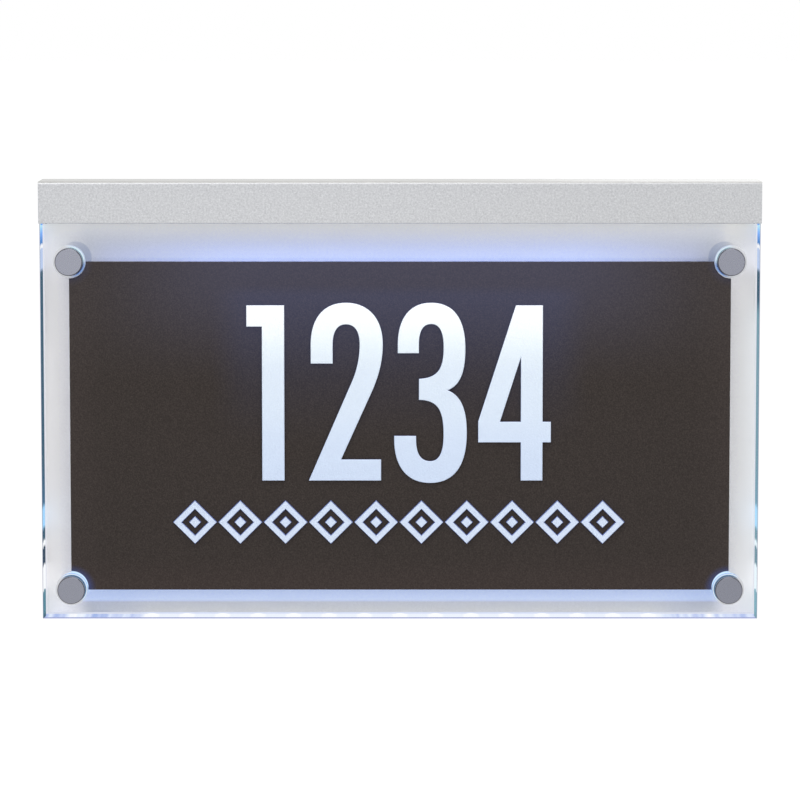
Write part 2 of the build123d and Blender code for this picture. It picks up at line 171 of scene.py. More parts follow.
def srgb(red, green, blue):
    # a colour read off as 0 to 255, made linear
    return tuple(
        v / 12.92 if v <= 0.04045 else ((v + 0.055) / 1.055) ** 2.4
        for v in (red / 255, green / 255, blue / 255)
    )


def newMaterial(name):
    material = bpy.data.materials.new(name)
    material.use_nodes = True
    tree = material.node_tree
    where = addNode(tree, "ShaderNodeTexCoord").outputs["Object"]
    split = addNode(tree, "ShaderNodeSeparateXYZ")
    feed(tree, split.inputs[0], where)
    return material, tree, tree.nodes["Principled BSDF"], where, split.outputs


def dress(tree, shader, looks):
    for name, value in looks.items():
        feed(tree, shader.inputs[name], value)


# camera, lamps and floor

camera = {
    "aim": (0.0, -0.038, -0.0679), "distance": 2.40, "elevation": 6.0,
    "width": 0.4617,  # the strip of the sign's plane that fills the picture
    "film": 36.0,
}
lamps = {
    "key": {"place": (-0.9, -1.3, 1.1), "size": 1.1, "power": 8.5},
    "top": {"place": (0.1, -0.35, 1.3), "size": 1.2, "power": 8.0},
    "fill": {"place": (1.1, -1.2, 0.3), "size": 1.0, "power": 3.4},
    "back": {"place": (0.6, 1.5, 0.3), "size": 1.0, "power": 2.6},
}
lampAim = Vector((0.0, 0.0, -0.07))
studio = {
    "world": 0.55, "worldTint": (0.97, 0.985, 1.0, 1.0),
    "floorLevel": -0.46, "floorReach": 25.0, "floorWhite": 1.25, "floorShare": 0.72,
}


def makeCamera():
    data = bpy.data.cameras.new("photoCamera")
    data.sensor_width = camera["film"]
    data.lens = camera["film"] * camera["distance"] / camera["width"]
    data.clip_start, data.clip_end = 0.05, 60.0
    obj = bpy.data.objects.new("photoCamera", data)
    bpy.context.scene.collection.objects.link(obj)
    tilt = math.radians(camera["elevation"])
    back = Vector((0.0, -math.cos(tilt), math.sin(tilt)))
    obj.location = Vector(camera["aim"]) + back * camera["distance"]
    obj.rotation_euler = (-back).to_track_quat("-Z", "Y").to_euler()
    bpy.context.scene.camera = obj


def makeLamp(name, place, size, power):
    data = bpy.data.lights.new(name, "AREA")
    data.shape = "DISK"
    data.size = size
    data.energy = power
    obj = bpy.data.objects.new(name, data)
    bpy.context.scene.collection.objects.link(obj)
    obj.location = place
    obj.rotation_euler = (lampAim - Vector(place)).to_track_quat("-Z", "Y").to_euler()


def seenDirectly(tree):
    # 1 for rays that come from the camera, a mirror or through glass
    path = addNode(tree, "ShaderNodeLightPath").outputs
    some = calc(tree, "MAXIMUM", path["Is Camera Ray"], path["Is Glossy Ray"])
    return calc(tree, "MAXIMUM", some, path["Is Transmission Ray"])


def makeWorld():
    world = bpy.data.worlds.new("paleStudio")
    bpy.context.scene.world = world
    world.use_nodes = True
    tree = world.node_tree
    lit = tree.nodes["Background"]
    lit.inputs["Color"].default_value = studio["worldTint"]
    lit.inputs["Strength"].default_value = studio["world"]
    white = addNode(tree, "ShaderNodeBackground")
    white.inputs["Color"].default_value = (1.0, 1.0, 1.0, 1.0)
    both = mixShaders(tree, seenDirectly(tree), lit.outputs[0], white.outputs[0])
    feed(tree, tree.nodes["World Output"].inputs["Surface"], both)


def makeFloor():
    material, tree, shader, where, axes = newMaterial("paleFloor")
    tint = ramp(tree, grain(tree, where, 3.0), [(0.0, (0.86, 0.86, 0.87)), (1.0, (0.9, 0.9, 0.9))])
    dress(tree, shader, {"Base Color": tint, "Roughness": 0.9, "Specular IOR Level": 0.0})
    # seen directly the floor is mostly plain white, and keeps the sign's shadow
    white = addNode(tree, "ShaderNodeEmission")
    white.inputs["Strength"].default_value = studio["floorWhite"]
    share = product(tree, seenDirectly(tree), studio["floorShare"])
    both = mixShaders(tree, share, shader.outputs[0], white.outputs[0])
    feed(tree, tree.nodes["Material Output"].inputs["Surface"], both)
    mesh = bpy.data.meshes.new("studioFloor")
    reach, level = studio["floorReach"], studio["floorLevel"]
    corners = [(-reach, -reach), (reach, -reach), (reach, reach), (-reach, reach)]
    mesh.from_pydata([(x, y, level) for x, y in corners], [], [(0, 1, 2, 3)])
    mesh.materials.append(material)
    obj = bpy.data.objects.new("studioFloor", mesh)
    bpy.context.scene.collection.objects.link(obj)


makeCamera()
makeWorld()
makeFloor()
for lampName, lamp in lamps.items():
    makeLamp(lampName + "Lamp", **lamp)
bpy.context.scene.view_settings.view_transform = "Standard"
print("camera, lamps and floor ready")


# where things are, read from the model

plateLow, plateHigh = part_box("number_plate")
clearLow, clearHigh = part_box("clear_panel")
emittersLow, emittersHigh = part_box("led_emitters")
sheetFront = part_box("back_panel")[0].y
capLow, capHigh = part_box("standoff_cap_upper_left")
lowCapLow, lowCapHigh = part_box("standoff_cap_lower_left")
washerLow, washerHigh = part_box("cap_washer_upper_left")
railLow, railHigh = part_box("rail_body")
capX = -(capLow.x + capHigh.x) / 2
capTopZ = (capLow.z + capHigh.z) / 2
capFootZ = (lowCapLow.z + lowCapHigh.z) / 2
capRadius = (capHigh.x - capLow.x) / 2
washerRadius = (washerHigh.x - washerLow.x) / 2
plateMiddle = (plateLow.z + plateHigh.z) / 2
lampRow = {"count": 15, "width": 3.5 * mm}
lampPitch = (emittersHigh.x - emittersLow.x - lampRow["width"]) / (lampRow["count"] - 1)


def aroundStandoff(tree, axes):
    # how far a point is from the nearest standoff's axis, with its steps inwards in X and Z
    stepX = calc(tree, "SUBTRACT", capX, calc(tree, "ABSOLUTE", axes["X"]))
    fromMiddle = calc(tree, "SUBTRACT", axes["Z"], plateMiddle)
    stepZ = calc(tree, "SUBTRACT", capTopZ - plateMiddle, calc(tree, "ABSOLUTE", fromMiddle))
    return distance(tree, stepX, stepZ), stepX, stepZ


def upperHalf(tree, axes):
    return fade(tree, axes["Z"], plateMiddle - 10 * mm, plateMiddle + 10 * mm)


def rightHalf(tree, axes):
    return span(tree, axes["X"], -10, 10)


def crescentLight(tree, axes, lower):
    # light that the lower washers throw up and inwards; the deeper sheet has it lower
    sizes = {"shift": (-0.5, 1.5), "blur": 0.25 * mm, "rise": (-4, 2)}
    shiftX, shiftZ = sizes["shift"]
    fromX = calc(tree, "SUBTRACT", calc(tree, "ABSOLUTE", axes["X"]), capX + shiftX * mm)
    fromZ = calc(tree, "SUBTRACT", axes["Z"], capFootZ + shiftZ * mm - lower)
    away = distance(tree, fromX, fromZ)
    inside = fade(tree, away, washerRadius + sizes["blur"], washerRadius - sizes["blur"])
    return product(tree, inside, span(tree, fromZ, *sizes["rise"]))


def fromNearestLamp(tree, axes):
    # how far a point is along X from the middle of the nearest lamp
    turns = calc(tree, "DIVIDE", axes["X"], lampPitch)
    nearest = calc(tree, "ABSOLUTE", calc(tree, "SUBTRACT", turns, calc(tree, "ROUND", turns)))
    return product(tree, nearest, lampPitch)


# the finish of each piece; spans are in millimetres, from where a patch starts to where it is full

def blastedAluminium():
    sizes = {
        "grain": 950.0, "edge": (1.1, 0.5), "roof": (0.3, 0.1), "roofFront": (1.0, 1.6), "right": (-50, 210),
    }
    material, tree, shader, where, axes = newMaterial("blastedAluminium")
    fine = grain(tree, where, sizes["grain"], 3.0, 0.75)
    coarse = grain(tree, where, sizes["grain"] * 0.3, 2.0, 0.6)
    blasted = [(0.32, srgb(177, 178, 181)), (0.5, srgb(195, 196, 199)), (0.68, srgb(213, 214, 216))]
    blotches = product(tree, fade(tree, coarse, 0.3, 0.7), 0.3)
    colour = mixColour(tree, blotches, ramp(tree, fine, blasted), srgb(198, 199, 201))
    # away from the key lamp it is darker
    right = product(tree, span(tree, axes["X"], *sizes["right"]), 0.75)
    colour = mixColour(tree, right, colour, (0.90, 0.90, 0.895), "MULTIPLY")
    # painted shade: the rounded front edge and the roof are seen at a glance and would wash out in the lamps'
    # light, so they are painted darker
    below = calc(tree, "SUBTRACT", railHigh.z, axes["Z"])
    behind = calc(tree, "SUBTRACT", axes["Y"], railLow.y)
    colour = mixColour(tree, span(tree, below, *sizes["edge"]), colour, srgb(160, 160, 159))
    roof = product(tree, span(tree, below, *sizes["roof"]), span(tree, behind, *sizes["roofFront"]))
    mottled = ramp(tree, coarse, [(0.3, srgb(188, 188, 187)), (0.7, srgb(198, 198, 196))])
    colour = mixColour(tree, roof, colour, mixColour(tree, 0.6, mottled, srgb(196, 196, 194)))
    dress(tree, shader, {
        "Base Color": colour, "Metallic": 1.0, "Normal": bump(tree, fine, 0.35, 0.3 * mm),
        "Roughness": greyRamp(tree, fine, (0.2, 0.36), (0.8, 0.52)),
    })
    return material


def turnedSteel():
    # the caps: satin, with faint turning rings on the face and a darker rim of painted shade
    sizes = {"rings": 5200.0, "rim": (0.5625, 0.315), "rimDepth": (1.1, 0.7), "grain": 900.0}
    material, tree, shader, where, axes = newMaterial("turnedSteel")
    radius = aroundStandoff(tree, axes)[0]
    rings = addNode(tree, "ShaderNodeTexNoise", noise_dimensions="1D")
    feed(tree, rings.inputs["W"], radius)
    rings.inputs["Scale"].default_value = sizes["rings"]
    face = ramp(tree, rings.outputs["Fac"], [(0.3, srgb(154, 156, 168)), (0.7, srgb(162, 164, 176))])
    # painted shade: the upper left cap is the lightest, the lower right one the darkest
    face = mixColour(tree, span(tree, axes["X"], -50, 50), face, (0.865, 0.865, 0.87), "MULTIPLY")
    lower = fade(tree, axes["Z"], capTopZ - 50 * mm, capFootZ + 50 * mm)
    face = mixColour(tree, lower, face, (0.80, 0.80, 0.80), "MULTIPLY")
    # painted shade: the outer edge of the face and the front of the side are darker
    rim = span(tree, calc(tree, "SUBTRACT", capRadius, radius), *sizes["rim"])
    rim = product(tree, rim, span(tree, calc(tree, "SUBTRACT", axes["Y"], capLow.y), *sizes["rimDepth"]))
    rough = greyRamp(tree, grain(tree, where, sizes["grain"]), (0.3, 0.24), (0.7, 0.34))
    dress(tree, shader, {
        "Base Color": mixColour(tree, rim, face, srgb(84, 84, 90)), "Metallic": 1.0, "Roughness": rough,
        "Normal": bump(tree, rings.outputs["Fac"], 0.08, 0.1 * mm),
    })
    return material


def frostedWasherPaintedGlow():
    # painted light: the washer glows white and blue on the side that faces the middle of the sign
    sizes = {"grain": 2600.0, "underCap": 0.1 * mm, "glow": 0.55, "lean": 0.85}
    material, tree, shader, where, axes = newMaterial("glowingWasher")
    radius, stepX, stepZ = aroundStandoff(tree, axes)
    safe = calc(tree, "MAXIMUM", radius, 0.1 * mm)
    inwards, towards = calc(tree, "DIVIDE", stepX, safe), calc(tree, "DIVIDE", stepZ, safe)
    upper = upperHalf(tree, axes)
    band = fade(tree, radius, capRadius - sizes["underCap"], washerRadius)
    # colours run from the cap's edge outwards, from painted shade at the edge to painted light further out
    aboveGlow = ramp(tree, band, [
        (0.0, srgb(90, 120, 150)), (0.25, srgb(214, 246, 255)),
        (0.6, srgb(240, 250, 255)), (1.0, srgb(196, 214, 240)),
    ])
    belowGlow = ramp(tree, band, [
        (0.0, srgb(26, 28, 44)), (0.3, srgb(58, 84, 150)),
        (0.65, srgb(122, 164, 232)), (1.0, srgb(170, 200, 246)),
    ])
    lowerGlow = ramp(tree, band, [
        (0.0, srgb(30, 44, 72)), (0.28, srgb(130, 176, 224)), (0.5, srgb(226, 244, 255)),
        (0.85, srgb(246, 252, 255)), (1.0, srgb(150, 188, 244)),
    ])
    upperGlow = mixColour(tree, fade(tree, towards, -0.25, 0.35), aboveGlow, belowGlow)
    bright = mixColour(tree, upper, lowerGlow, upperGlow)
    # the glow leans inwards, and at the lower washers upwards too
    lean = product(tree, towards, calc(tree, "SUBTRACT", sizes["lean"], upper))
    across = fade(tree, calc(tree, "ADD", inwards, lean), -0.25, 0.5)
    fine = grain(tree, where, sizes["grain"])
    bright = mixColour(tree, product(tree, fade(tree, fine, 0.5, 0.75), 0.5), bright, srgb(236, 246, 255))
    colour = mixColour(tree, across, srgb(220, 221, 225), bright)
    dress(tree, shader, {
        "Base Color": mixColour(tree, sizes["glow"], colour, (0.0, 0.0, 0.0)), "Emission Color": colour,
        "Emission Strength": sizes["glow"], "Roughness": 0.35, "Specular IOR Level": 0.1,
        "Normal": bump(tree, fine, 0.2, 0.1 * mm),
    })
    return material


def edgeBands(tree, axes):
    # painted light and shade: the lamps' light along the two upright edges, as bright and dark bands from the
    # foot up
    sizes = {"height": 229.7 * mm, "rightStart": (-8, -22), "rightShare": 0.3}
    white, cyan, teal = srgb(250, 252, 255), srgb(160, 214, 255), srgb(70, 128, 146)
    navy, slate, haze = srgb(20, 54, 78), srgb(42, 84, 106), srgb(182, 202, 236)
    bands = [
        (0.000, slate), (0.012, teal), (0.066, teal), (0.070, white), (0.130, white), (0.136, navy),
        (0.176, navy), (0.182, white), (0.192, white), (0.197, slate), (0.222, slate), (0.232, cyan),
        (0.276, cyan), (0.290, srgb(40, 96, 132)), (0.400, slate), (0.876, slate), (0.886, haze),
        (0.934, haze), (0.938, white), (0.944, white), (0.948, srgb(60, 126, 196)),
        (0.972, srgb(121, 174, 250)), (0.985, cyan), (1.000, srgb(205, 250, 255)),
    ]
    height = calc(tree, "DIVIDE", calc(tree, "SUBTRACT", axes["Z"], clearLow.z), sizes["height"])
    # the right edge is lighter, except near the rail
    right = product(tree, rightHalf(tree, axes), sizes["rightShare"])
    right = product(tree, right, span(tree, axes["Z"], *sizes["rightStart"]))
    return mixColour(tree, right, ramp(tree, height, bands), srgb(190, 240, 255))


lampRowEnds = (146, 156)  # the foot's light breaks up past the outermost lamps


def footDashes(tree, where):
    # painted light: the lamps' light along the foot, broken into dashes
    blue, pale = srgb(132, 164, 226), srgb(190, 204, 242)
    dashes = [(0.34, blue), (0.46, pale), (0.56, srgb(228, 238, 255)), (0.66, (1.0, 1.0, 1.0))]
    return ramp(tree, grain(tree, where, 110.0, stretch=(1.0, 0.02, 0.02)), dashes)


def clearAcrylic():
    # a clear block whose polished edges carry the lamps' light, painted on them as a glow
    sizes = {
        "arrisFront": (0.34, 0.46), "arrisRear": (0.95, 0.85), "bevel": (0.85, 0.75), "edge": (0.95, 0.8),
        "spot": (5.4, 3.4), "cover": 0.985,
    }
    material, tree, shader, where, axes = newMaterial("clearAcrylic")
    tint = ramp(tree, grain(tree, where, 40.0), [(0.0, (0.985, 0.995, 1.0)), (1.0, (0.995, 1.0, 1.0))])
    dress(tree, shader, {"Base Color": tint, "Roughness": 0.0, "IOR": 1.49, "Transmission Weight": 1.0})
    # light from lamps passes straight through, so that the white panel behind stays lit
    through = addNode(tree, "ShaderNodeBsdfTransparent").outputs[0]
    shadow = addNode(tree, "ShaderNodeLightPath").outputs["Is Shadow Ray"]
    glass = mixShaders(tree, shadow, shader.outputs[0], through)
    # painted reflection: the outer half of the bevel towards the street is grey; painted light: all the rest
    # of a side carries colour
    out = calc(tree, "ABSOLUTE", axes["X"])
    behind = calc(tree, "SUBTRACT", axes["Y"], clearLow.y)
    above = calc(tree, "SUBTRACT", axes["Z"], clearLow.z)
    arris = product(tree, span(tree, behind, *sizes["arrisFront"]), span(tree, behind, *sizes["arrisRear"]))
    side = mixColour(tree, arris, edgeBands(tree, axes), srgb(166, 169, 184))
    # painted light: the foot has a lavender bevel towards the street and a white line behind it, whitest
    # under each lamp
    spot = span(tree, fromNearestLamp(tree, axes), *sizes["spot"])
    foot = mixColour(tree, spot, srgb(238, 244, 254), srgb(252, 254, 255))
    foot = mixColour(tree, span(tree, out, *lampRowEnds), foot, footDashes(tree, where))
    foot = mixColour(tree, span(tree, behind, *sizes["bevel"]), foot, srgb(160, 168, 212))
    footMask = span(tree, above, *sizes["edge"])
    sideMask = span(tree, calc(tree, "SUBTRACT", clearHigh.x, out), *sizes["edge"])
    paint = addNode(tree, "ShaderNodeEmission")
    feed(tree, paint.inputs["Color"], mixColour(tree, sideMask, foot, side))
    cover = product(tree, calc(tree, "MAXIMUM", footMask, sideMask), sizes["cover"])
    edge = mixShaders(tree, cover, glass, paint.outputs[0])
    feed(tree, tree.nodes["Material Output"].inputs["Surface"], edge)
    return material


def panelGlow(tree, axes, out):
    # the lamps' blue light between the rail and the plate and below the plate, and the daylight around it
    across = spans(tree, out, {
        "topMiddle": (196, 90), "topCorner": (188, 165), "under": (200, 180), "beside": (188, 205),
        "border": (180, 189), "outer": (197, 206), "inner": (186, 190), "innerEnd": (205, 191),
    })
    up = spans(tree, axes["Z"], {
        "top": (33.5, 4), "topFoot": (-2, 6), "under": (-188.5, -186.5), "underTop": (-165, -175),
        "tail": (-193.5, -187.5), "rail": (18, 35), "border": (3, 40),
        "outerTop": (-10, -50), "outerFoot": (-155, -115),
    })
    right = rightHalf(tree, axes)
    top = product(tree, up["top"], up["topFoot"])
    outer = product(tree, across["outer"], up["outerTop"], up["outerFoot"], oneMinus(tree, right, 0.5))
    return addLights(tree, [
        (product(tree, top, across["topMiddle"]), (0.13, 0.21, 0.50)),
        (product(tree, top, across["topCorner"]), (0.0, 0.02, 0.14)),
        (product(tree, up["under"], up["underTop"], across["under"]), (0.09, 0.165, 0.36)),
        (product(tree, up["tail"], across["under"]), (0.0, 0.01, 0.05)),
        (product(tree, up["rail"], oneMinus(tree, across["beside"], 0.65)), (0.31, 0.30, 0.27)),
        (product(tree, across["border"], oneMinus(tree, up["border"], 0.8)), (0.15, 0.135, 0.145)),
        (outer, (0.08, 0.075, 0.075)),
        (across["beside"], (0.21, 0.20, 0.18)),
        (product(tree, across["inner"], across["innerEnd"], right), (0.055, 0.048, 0.025)),
        (crescentLight(tree, axes, 2.6 * mm), (0.10, 0.26, 0.36)),
    ])


def mirroredCap(tree, axes, out):
    # painted reflection: each upper cap is mirrored in the block as a disc a little inwards, painted on the
    # panel
    sizes = {"shift": (-2.6, 1.3), "blur": 0.4 * mm, "endStart": 4 * mm, "endFull": -2 * mm}
    fromX = calc(tree, "SUBTRACT", out, capX + sizes["shift"][0] * mm)
    fromZ = calc(tree, "SUBTRACT", axes["Z"], capTopZ + sizes["shift"][1] * mm)
    away = distance(tree, fromX, fromZ)
    disc = fade(tree, away, washerRadius + sizes["blur"], washerRadius - sizes["blur"])
    return product(tree, disc, fade(tree, out, capX + sizes["endStart"], capX + sizes["endFull"]))


def panelRim(tree, axes, out):
    # the coloured edge light spills on to the panel's rim; returns its colour and its mask
    sizes = {
        "rim": (0.45, 0.65), "pale": (1.9, 1.5), "foot": (2.0, 1.8), "lampReach": 5.6 * mm,
        "hump": 1.3 * mm, "line": 0.45 * mm, "humpEdge": (0.2, -0.3),
    }
    foot = calc(tree, "SUBTRACT", axes["Z"], clearLow.z)
    side = calc(tree, "SUBTRACT", clearHigh.x, out)
    # a white line along the foot rises to a hump under each lamp
    fromLamp = calc(tree, "DIVIDE", fromNearestLamp(tree, axes), sizes["lampReach"])
    hump = product(tree, oneMinus(tree, fromLamp, fromLamp), sizes["hump"])
    hump = calc(tree, "MAXIMUM", hump, sizes["line"])
    ends = span(tree, out, *lampRowEnds)
    white = span(tree, calc(tree, "SUBTRACT", foot, hump), *sizes["humpEdge"])
    white = product(tree, white, oneMinus(tree, ends))
    footColour = mixColour(tree, white, srgb(214, 221, 244), (1.0, 1.0, 1.0))
    footColour = mixColour(tree, ends, footColour, srgb(214, 217, 230))
    sideColour = mixColour(tree, span(tree, side, *sizes["rim"]), edgeBands(tree, axes), srgb(228, 228, 236))
    sideRim = span(tree, side, *sizes["pale"])
    colour = mixColour(tree, sideRim, footColour, sideColour)
    return colour, calc(tree, "MAXIMUM", span(tree, foot, *sizes["foot"]), sideRim)


def whitePanel():
    # satin white; its front carries the lamps' light, and its back shows little of it
    sizes = {"grain": 700.0, "face": (0.3, 0.1), "backShare": 0.12}
    material, tree, shader, where, axes = newMaterial("whitePanel")
    out = calc(tree, "ABSOLUTE", axes["X"])
    fine = grain(tree, where, sizes["grain"])
    base = ramp(tree, fine, [(0.3, srgb(214, 215, 219)), (0.7, srgb(220, 221, 225))])
    # painted reflection: a grey-blue disc darkens the panel where each upper cap is mirrored
    paintedCapReflection = product(tree, mirroredCap(tree, axes, out), 0.55)
    base = mixColour(tree, paintedCapReflection, base, srgb(150, 162, 186))
    face = span(tree, calc(tree, "SUBTRACT", axes["Y"], sheetFront), *sizes["face"])
    glow = panelGlow(tree, axes, out)
    glow = mixColour(tree, face, mixColour(tree, sizes["backShare"], (0.0, 0.0, 0.0), glow), glow)
    rimColour, rim = panelRim(tree, axes, out)
    rim = product(tree, rim, face)
    dress(tree, shader, {
        "Base Color": mixColour(tree, rim, base, (0.0, 0.0, 0.0)),
        "Emission Color": mixColour(tree, rim, glow, rimColour), "Emission Strength": 1.0,
        "Roughness": 0.6, "Normal": bump(tree, fine, 0.05, 0.1 * mm),
    })
    return material


def bronzePaint():
    # fine textured dark bronze, with the blue haze that the lamps leave on it
    sizes = {"grain": 1300.0, "weave": 420.0, "haloStart": 6 * mm, "haloFull": -1 * mm}
    material, tree, shader, where, axes = newMaterial("bronzePaint")
    fine = grain(tree, where, sizes["grain"], 3.0, 0.6)
    weave = product(tree, grain(tree, where, sizes["weave"]), 0.3)
    colour = ramp(tree, fine, [(0.3, srgb(43, 38, 35)), (0.5, srgb(54, 48, 45)), (0.7, srgb(66, 59, 55))])
    colour = mixColour(tree, weave, colour, srgb(49, 43, 40))
    across = spans(tree, calc(tree, "ABSOLUTE", axes["X"]), {
        "haze": (195, 75), "shoulders": (60, 150), "spill": (112, 86), "sides": (165, 190),
    })
    up = spans(tree, axes["Z"], {
        "haze": (-62, 12), "shoulders": (-65, 0), "spill": (-100, -30), "spillTop": (0, -9),
        "foot": (-155, -178),
    })
    # the spill lies around the figures; the halo round each washer is faint at the upper ones
    spill = product(tree, across["spill"], up["spill"], up["spillTop"])
    radius = aroundStandoff(tree, axes)[0]
    halo = fade(tree, radius, washerRadius + sizes["haloStart"], washerRadius + sizes["haloFull"])
    halo = product(tree, halo, oneMinus(tree, upperHalf(tree, axes), 0.85))
    # painted light: the lamps' haze, spill, halo and crescent, with a faint warm lift at the shoulders, the
    # foot, the sides and all over
    light = addLights(tree, [
        (product(tree, up["haze"], across["haze"]), (0.023, 0.028, 0.060)),
        (product(tree, up["shoulders"], across["shoulders"]), (0.006, 0.006, 0.008)),
        (spill, (0.002, 0.006, 0.022)),
        (halo, (0.006, 0.034, 0.150)),
        (crescentLight(tree, axes, 0.0), (0.62, 0.82, 0.98)),
        (up["foot"], (0.006, 0.003, 0.003)),
        (product(tree, across["sides"], 0.6), (0.008, 0.006, 0.006)),
    ], start=(0.004, 0.003, 0.003))
    dress(tree, shader, {
        "Base Color": colour, "Roughness": 0.62, "Specular IOR Level": 0.12,
        "Emission Color": light, "Emission Strength": 1.0, "Normal": bump(tree, fine, 0.5, 0.2 * mm),
    })
    return material


# the number on the plate is 1234, in raised figures
figures = {
    "height": 101.6 * mm, "baseline": -114.6 * mm, "middle": -0.7 * mm,
    "relief": 1.6 * mm, "sunk": 0.4 * mm, "edge": 0.55 * mm,
    "widths": (21.8, 42.8, 42.0, 42.0), "gaps": (14.0, 6.5, 6.5, 0.0),
    "curveSteps": 18, "bevelSteps": 2,
}


def litWhite():
    # white paint lit from the rail above, cooler towards the foot
    sizes = {
        "grain": 900.0, "drop": 140 * mm, "bevel": (0.08, 0.45), "fringe": (0.36, 0.5), "sideways": 0.7,
        "brightDrop": 0.30,
    }
    material, tree, shader, where, axes = newMaterial("litWhite")
    fine = grain(tree, where, sizes["grain"], 3.0, 0.65)
    down = calc(tree, "SUBTRACT", figures["baseline"] + figures["height"], axes["Z"])
    down = calc(tree, "DIVIDE", down, sizes["drop"])
    colour = ramp(tree, down, [
        (0.00, srgb(250, 251, 252)), (0.10, srgb(244, 250, 253)), (0.18, srgb(236, 246, 252)),
        (0.27, srgb(231, 242, 253)), (0.45, srgb(226, 238, 252)), (0.55, srgb(220, 233, 251)),
        (0.70, srgb(214, 228, 249)), (1.0, srgb(219, 231, 250)),
    ])
    speckle = product(tree, fade(tree, fine, 0.35, 0.65), 0.10)
    colour = mixColour(tree, speckle, colour, (0.72, 0.76, 0.84), "MULTIPLY")
    # painted highlight and shade: the bevel is bright where it looks up or right, and blue where it looks
    # down or left
    normal = addNode(tree, "ShaderNodeSeparateXYZ")
    feed(tree, normal.inputs[0], addNode(tree, "ShaderNodeTexCoord").outputs["Normal"])
    sideways = product(tree, normal.outputs["X"], sizes["sideways"])
    upright = fade(tree, calc(tree, "ADD", normal.outputs["Z"], sideways), -0.9, 0.9)
    shade = ramp(tree, upright, [
        (0.0, srgb(176, 192, 226)), (0.45, srgb(206, 221, 246)), (1.0, srgb(246, 252, 255)),
    ])
    behind = calc(tree, "SUBTRACT", axes["Y"], plateLow.y - figures["relief"])
    colour = mixColour(tree, product(tree, span(tree, behind, *sizes["bevel"]), 0.85), colour, shade)
    # painted light: a thin blue fringe at the back of the bevel
    fringe = product(tree, span(tree, behind, *sizes["fringe"]), 0.9)
    colour = mixColour(tree, fringe, colour, srgb(96, 120, 196))
    # painted light: the upper part of the figures glows
    bright = fade(tree, down, sizes["brightDrop"], 0.0)
    glow = mixColour(tree, bright, (0.02, 0.02, 0.03), (0.16, 0.16, 0.16))
    dress(tree, shader, {
        "Base Color": colour, "Emission Color": glow, "Emission Strength": 1.0,
        "Roughness": 0.6, "Specular IOR Level": 0.15, "Normal": bump(tree, fine, 0.6, 0.3 * mm),
    })
    return material


def plainFinish(name, low, high, scale, metal, rough, relief):
    # a mottled finish between two colours, for the pieces inside and behind
    material, tree, shader, where, axes = newMaterial(name)
    pattern = grain(tree, where, scale, 3.0, 0.6)
    dress(tree, shader, {
        "Base Color": ramp(tree, pattern, [(0.3, low), (0.7, high)]), "Metallic": metal,
        "Roughness": greyRamp(tree, pattern, (0.3, rough[0]), (0.7, rough[1])),
        "Normal": bump(tree, pattern, relief, 0.2 * mm),
    })
    return material


def lampLens():
    material, tree, shader, where, axes = newMaterial("lampLens")
    mottle = grain(tree, where, 400.0)
    dress(tree, shader, {
        "Base Color": ramp(tree, mottle, [(0.3, (0.9, 0.92, 0.8)), (0.7, (0.95, 0.95, 0.9))]),
        "Emission Color": ramp(tree, mottle, [(0.3, (0.75, 0.86, 1.0)), (0.7, (0.9, 0.95, 1.0))]),
        "Emission Strength": 2.5, "Roughness": 0.3,
    })
    return material


corners = ("upper_left", "upper_right", "lower_left", "lower_right")
finishes = [
    (blastedAluminium(), ["rail_body", "rail_end_plate_left", "rail_end_plate_right"]),
    (turnedSteel(), ["standoff_cap_" + corner for corner in corners]),
    (frostedWasherPaintedGlow(), ["cap_washer_" + corner for corner in corners]),
    (clearAcrylic(), ["clear_panel"]),
    (whitePanel(), ["back_panel"]),
    (bronzePaint(), ["number_plate"]),
    (lampLens(), ["led_emitters"]),
]
figureWhite = litWhite()

# two colours, the pattern's scale, metal or not, the range of roughness and the bump
plainLooks = {
    "brightSteel": ((0.50, 0.50, 0.51), (0.64, 0.64, 0.65), 600.0, 1.0, (0.22, 0.34), 0.1),
    "satinSteel": ((0.42, 0.42, 0.44), (0.52, 0.52, 0.54), 900.0, 1.0, (0.3, 0.42), 0.1),
    "boardWhite": ((0.78, 0.78, 0.75), (0.85, 0.85, 0.82), 300.0, 0.0, (0.4, 0.55), 0.1),
    "blackPlastic": ((0.018, 0.018, 0.020), (0.034, 0.034, 0.037), 1200.0, 0.0, (0.45, 0.6), 0.3),
    "blackRubber": ((0.014, 0.014, 0.014), (0.030, 0.030, 0.030), 500.0, 0.0, (0.7, 0.85), 0.3),
    "zincPlate": ((0.42, 0.44, 0.46), (0.62, 0.64, 0.66), 70.0, 1.0, (0.3, 0.5), 0.15),
    "turnedBrass": ((0.55, 0.38, 0.16), (0.72, 0.53, 0.26), 800.0, 1.0, (0.25, 0.4), 0.1),
}
plainPieces = {
    "brightSteel": [
        "plate_studs", "stud_washers", "stud_nuts", "panel_clamp_screws", "end_plate_screws", "driver_screws",
    ],
    "satinSteel": ["standoff_sleeves"],
    "boardWhite": ["led_board"],
    "blackPlastic": ["lead_connector", "terminal_block", "led_driver"],
    "blackRubber": ["lead_grommet", "front_gasket", "rear_gasket", "wall_bumpers", "cable_grommet"],
    "zincPlate": ["wall_bracket"],
    "turnedBrass": ["terminal_screws"],
}
for name, looks in plainLooks.items():
    finishes.append((plainFinish(name, *looks), plainPieces[name]))
brightSteel = bpy.data.materials["brightSteel"]
for finish, pieces in finishes:
    for piece in pieces:
        mesh = nodes[piece].data
        mesh.materials.clear()
        mesh.materials.append(finish)
print("finishes on", sum(len(pieces) for finish, pieces in finishes), "pieces of", len(nodes))


